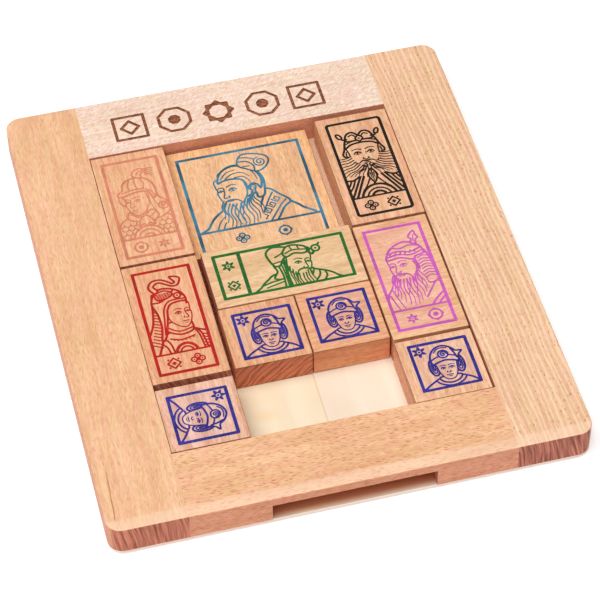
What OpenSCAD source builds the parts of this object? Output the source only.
// Sliding tile puzzle: ten loose wooden tiles in a shallow beech tray.
// Origin at the middle of the underside, +Z up, front edge of the tray towards -Y.
// Moving every tile out of its way in turn lets the thin square tile leave by the front slot.

/* [Tiles] */
// Side of a small square tile
tile_side = 30; // [24:0.5:36]
// Thickness of every tile except the large one
tile_t = 12.3; // [9:0.1:12.5]
// How much less than two small tiles the side of the large square tile measures
large_trim = 1; // [0.4:0.1:2]
// Thickness of the large square tile, thin enough for the exit slot
large_t = 7.7; // [5:0.1:8]

/* [Tray] */
// Slack beside a full row of four small tiles, from side board to side board
slack_w = 3.3; // [3:0.1:6]
// Slack beside a full column of five small tiles, from front board to rear board
slack_l = 4.7; // [3:0.1:6]
// Thickness of the four frame boards, and so the depth of the tray
board_t = 12.5; // [12.5:0.5:16]
// Width of the two side boards
stile_w = 29.5; // [24:0.5:40]
// Width of the front board
front_rail_w = 29.4; // [24:0.1:40]
// Width of the rear board
rear_rail_w = 30.2; // [24:0.1:40]
// Radius of the four outer corners, seen from above
corner_r = 6; // [2:0.5:12]
// Thickness of the floor panel
panel_t = 2; // [2:0.5:4]
// How far the floor panel stops short of the frame's outer edge
panel_inset = 0.4; // [0.2:0.1:2]

/* [Exit slot] */
// How much wider than the large tile the slot is
slot_side_play = 3; // [1:0.5:6]
// How much higher than the large tile the slot is
slot_top_play = 0.8; // [0.4:0.1:2]

/* [Burnt ornaments] */
// Size across one ornament
mark_size = 14; // [8:0.5:16]
// Distance from one ornament to the next
mark_pitch = 18.5; // [17:0.5:21]
// Width of a burnt line
mark_line = 1.3; // [0.8:0.1:1.6]
// Depth of a burnt line
mark_depth = 0.4; // [0.2:0.1:1]

/* [Dowels] */
// Diameter of the dowels hidden in the frame's corner joints
dowel_d = 6; // [4:0.5:8]
// Length of a dowel, half of it in each board
dowel_l = 30; // [20:1:34]

/* [Hidden] */
$fn = 64;
FRONT_REAR = ["front", "rear"];
LEFT_RIGHT = ["left", "right"];
DOWEL_NODES = [for (e = FRONT_REAR) for (s = LEFT_RIGHT) for (k = [1, 2]) str(e, "_", s, "_dowel_", k)];

columns = 4;
rows = 5;
tray_w = columns * tile_side + slack_w;
tray_l = rows * tile_side + slack_l;
total_w = tray_w + 2 * stile_w;
total_l = tray_l + front_rail_w + rear_rail_w;
total_h = panel_t + board_t;

// The end boards differ in width, so the inside of the tray lies off the middle
tray_y = (front_rail_w - rear_rail_w) / 2;

large_side = 2 * tile_side - large_trim;
slot_w = large_side + slot_side_play;
slot_h = large_t + slot_top_play;

// Two dowels to each corner joint, with room for glue past their ends
dowel_spread = 16;
dowel_chamfer = 0.8;
dowel_end_gap = 0.5;
dowel_z = panel_t + board_t / 2;
dowel_r = dowel_d / 2;

// Middle of the row of ornaments, a little left of the middle of the rear board and nearer its inner edge
mark_row_x = -5;
mark_row_from_tray = 13;
mark_row_y = tray_y + tray_l / 2 + mark_row_from_tray;

// Sizes inside an ornament, as shares of its size across
diamond_share = 0.46;
stud_share = 0.36;
star_share = 0.70;

// How far a cut runs past the face that it opens
cut_over = 1;

// Wood colours
BEECH = [0.93, 0.75, 0.58];
BEECH_PALE = [0.97, 0.86, 0.78];
BEECH_TILE = [0.95, 0.77, 0.60];
PLY = [0.97, 0.90, 0.76];
BIRCH = [0.90, 0.80, 0.62];

// Outline of the whole tray, drawn in by inset on every side
module tray_outline(inset = 0) {
  r = corner_r - inset;
  w = total_w - 2 * inset;
  l = total_l - 2 * inset;
  square([w - 2 * r, l], center = true);
  square([w, l - 2 * r], center = true);
  for (x = [-1, 1], y = [-1, 1])
    translate([x * (w / 2 - r), y * (l / 2 - r)]) circle(r);
}

// A side board before drilling, on the side given by s = -1 or 1
module stile_blank(s) {
  translate([0, 0, panel_t]) linear_extrude(board_t) intersection() {
    tray_outline();
    translate([s * (tray_w + stile_w) / 2, 0]) square([stile_w, total_l], center = true);
  }
}

// Width of the board at the end given by e: 1 is the rear, -1 is the front
function rail_w(e) = e > 0 ? rear_rail_w : front_rail_w;

// Middle line of that board
function rail_y(e) = tray_y + e * (tray_l + rail_w(e)) / 2;

// That board before cutting
module rail_blank(e) {
  translate([0, rail_y(e), panel_t + board_t / 2])
    cube([tray_w, rail_w(e), board_t], center = true);
}

// Lays its children along X across a corner joint: end e, side s, first or second dowel k
module at_dowel(e, s, k) {
  y = rail_y(e) + (k == 1 ? -dowel_spread : dowel_spread) / 2;
  translate([s * tray_w / 2, y, dowel_z]) rotate([0, 90, 0]) children();
}

module dowel_holes() {
  for (e = [-1, 1], s = [-1, 1], k = [1, 2])
    at_dowel(e, s, k) cylinder(r = dowel_r, h = dowel_l + 2 * dowel_end_gap, center = true);
}

// One dowel with chamfered ends
module dowel(e, s, k) {
  half = dowel_l / 2;
  color(BIRCH) at_dowel(e, s, k) rotate_extrude() polygon([
    [0, -half], [dowel_r - dowel_chamfer, -half], [dowel_r, dowel_chamfer - half],
    [dowel_r, half - dowel_chamfer], [dowel_r - dowel_chamfer, half], [0, half]
  ]);
}

module left_stile() {
  color(BEECH) difference() {
    stile_blank(-1);
    dowel_holes();
  }
}

module right_stile() {
  color(BEECH) difference() {
    stile_blank(1);
    dowel_holes();
  }
}

// A closed line of even width round a regular polygon
module polygon_line(sides, across, turn = 0) {
  flat = cos(180 / sides);
  rotate(turn) difference() {
    circle(d = across / flat, $fn = sides);
    circle(d = (across - 2 * mark_line) / flat, $fn = sides);
  }
}

// A diamond inside a square
module square_mark() {
  polygon_line(4, mark_size, 45);
  polygon_line(4, mark_size * diamond_share);
}

// A stud inside an octagon
module octagon_mark() {
  polygon_line(8, mark_size, 22.5);
  circle(d = mark_size * stud_share, $fn = 8);
}

// Two crossed squares that make an eight-pointed star
module star_mark() {
  polygon_line(4, mark_size * star_share);
  polygon_line(4, mark_size * star_share, 45);
}

// Five ornaments in a row, the same from both ends
module burnt_marks() {
  translate([mark_row_x, mark_row_y, total_h - mark_depth]) linear_extrude(mark_depth + cut_over) {
    for (i = [-2, 2]) translate([i * mark_pitch, 0]) square_mark();
    for (i = [-1, 1]) translate([i * mark_pitch, 0]) octagon_mark();
    star_mark();
  }
}

module top_rail() {
  color(BEECH_PALE) difference() {
    rail_blank(1);
    dowel_holes();
    burnt_marks();
  }
}

module exit_slot() {
  translate([-slot_w / 2, -total_l / 2 - cut_over, panel_t - cut_over])
    cube([slot_w, front_rail_w + 2 * cut_over, slot_h + cut_over]);
}

module bottom_rail() {
  color(BEECH) difference() {
    rail_blank(-1);
    dowel_holes();
    exit_slot();
  }
}

module base_panel() {
  color(PLY) linear_extrude(panel_t) tray_outline(panel_inset);
}

// A loose tile whose middle lies at [x, y] on the floor panel
module loose_tile(middle, size, thickness) {
  color(BEECH_TILE) translate([middle.x, middle.y, panel_t + thickness / 2])
    cube([size.x, size.y, thickness], center = true);
}

small = [tile_side, tile_side];
upright = [tile_side, 2 * tile_side];
lying = [2 * tile_side, tile_side];
large = [large_side, large_side];

// Middle of the cells from column c and row r on, for a tile that is w cells wide and l cells long
function cell(c, r, w = 1, l = 1) = [
  (c - 1 + w / 2) * tray_w / columns - tray_w / 2,
  tray_y + tray_l / 2 - (r - 1 + l / 2) * tray_l / rows
];

// The tiles lie loose, so each sits a little off the middle of its cells
module large_tile() { loose_tile(cell(2, 1, 2, 2) + [-1.7, 0.1], large, large_t); }
module horizontal_tile() { loose_tile(cell(2, 3, 2, 1) + [0.4, 1.1], lying, tile_t); }
module rear_left_vertical_tile() { loose_tile(cell(1, 1, 1, 2) + [-0.2, 0.2], upright, tile_t); }
module rear_right_vertical_tile() { loose_tile(cell(4, 1, 1, 2) + [0.2, -1.4], upright, tile_t); }
module front_left_vertical_tile() { loose_tile(cell(1, 3, 1, 2) + [-0.3, 1.1], upright, tile_t); }
module front_right_vertical_tile() { loose_tile(cell(4, 3, 1, 2) + [-0.2, -0.5], upright, tile_t); }
module centre_left_small_tile() { loose_tile(cell(2, 4) + [0.6, 1.6], small, tile_t); }
module centre_right_small_tile() { loose_tile(cell(3, 4) + [0.1, 1.7], small, tile_t); }
module corner_left_small_tile() { loose_tile(cell(1, 5) + [-0.3, -0.1], small, tile_t); }
module corner_right_small_tile() { loose_tile(cell(4, 5) + [-0.3, -0.3], small, tile_t); }

left_stile();
right_stile();
top_rail();
bottom_rail();
base_panel();
large_tile();
horizontal_tile();
rear_left_vertical_tile();
rear_right_vertical_tile();
front_left_vertical_tile();
front_right_vertical_tile();
centre_left_small_tile();
centre_right_small_tile();
corner_left_small_tile();
corner_right_small_tile();
for (e = [0, 1], s = [0, 1], k = [1, 2])
  dowel(2 * e - 1, 2 * s - 1, k);
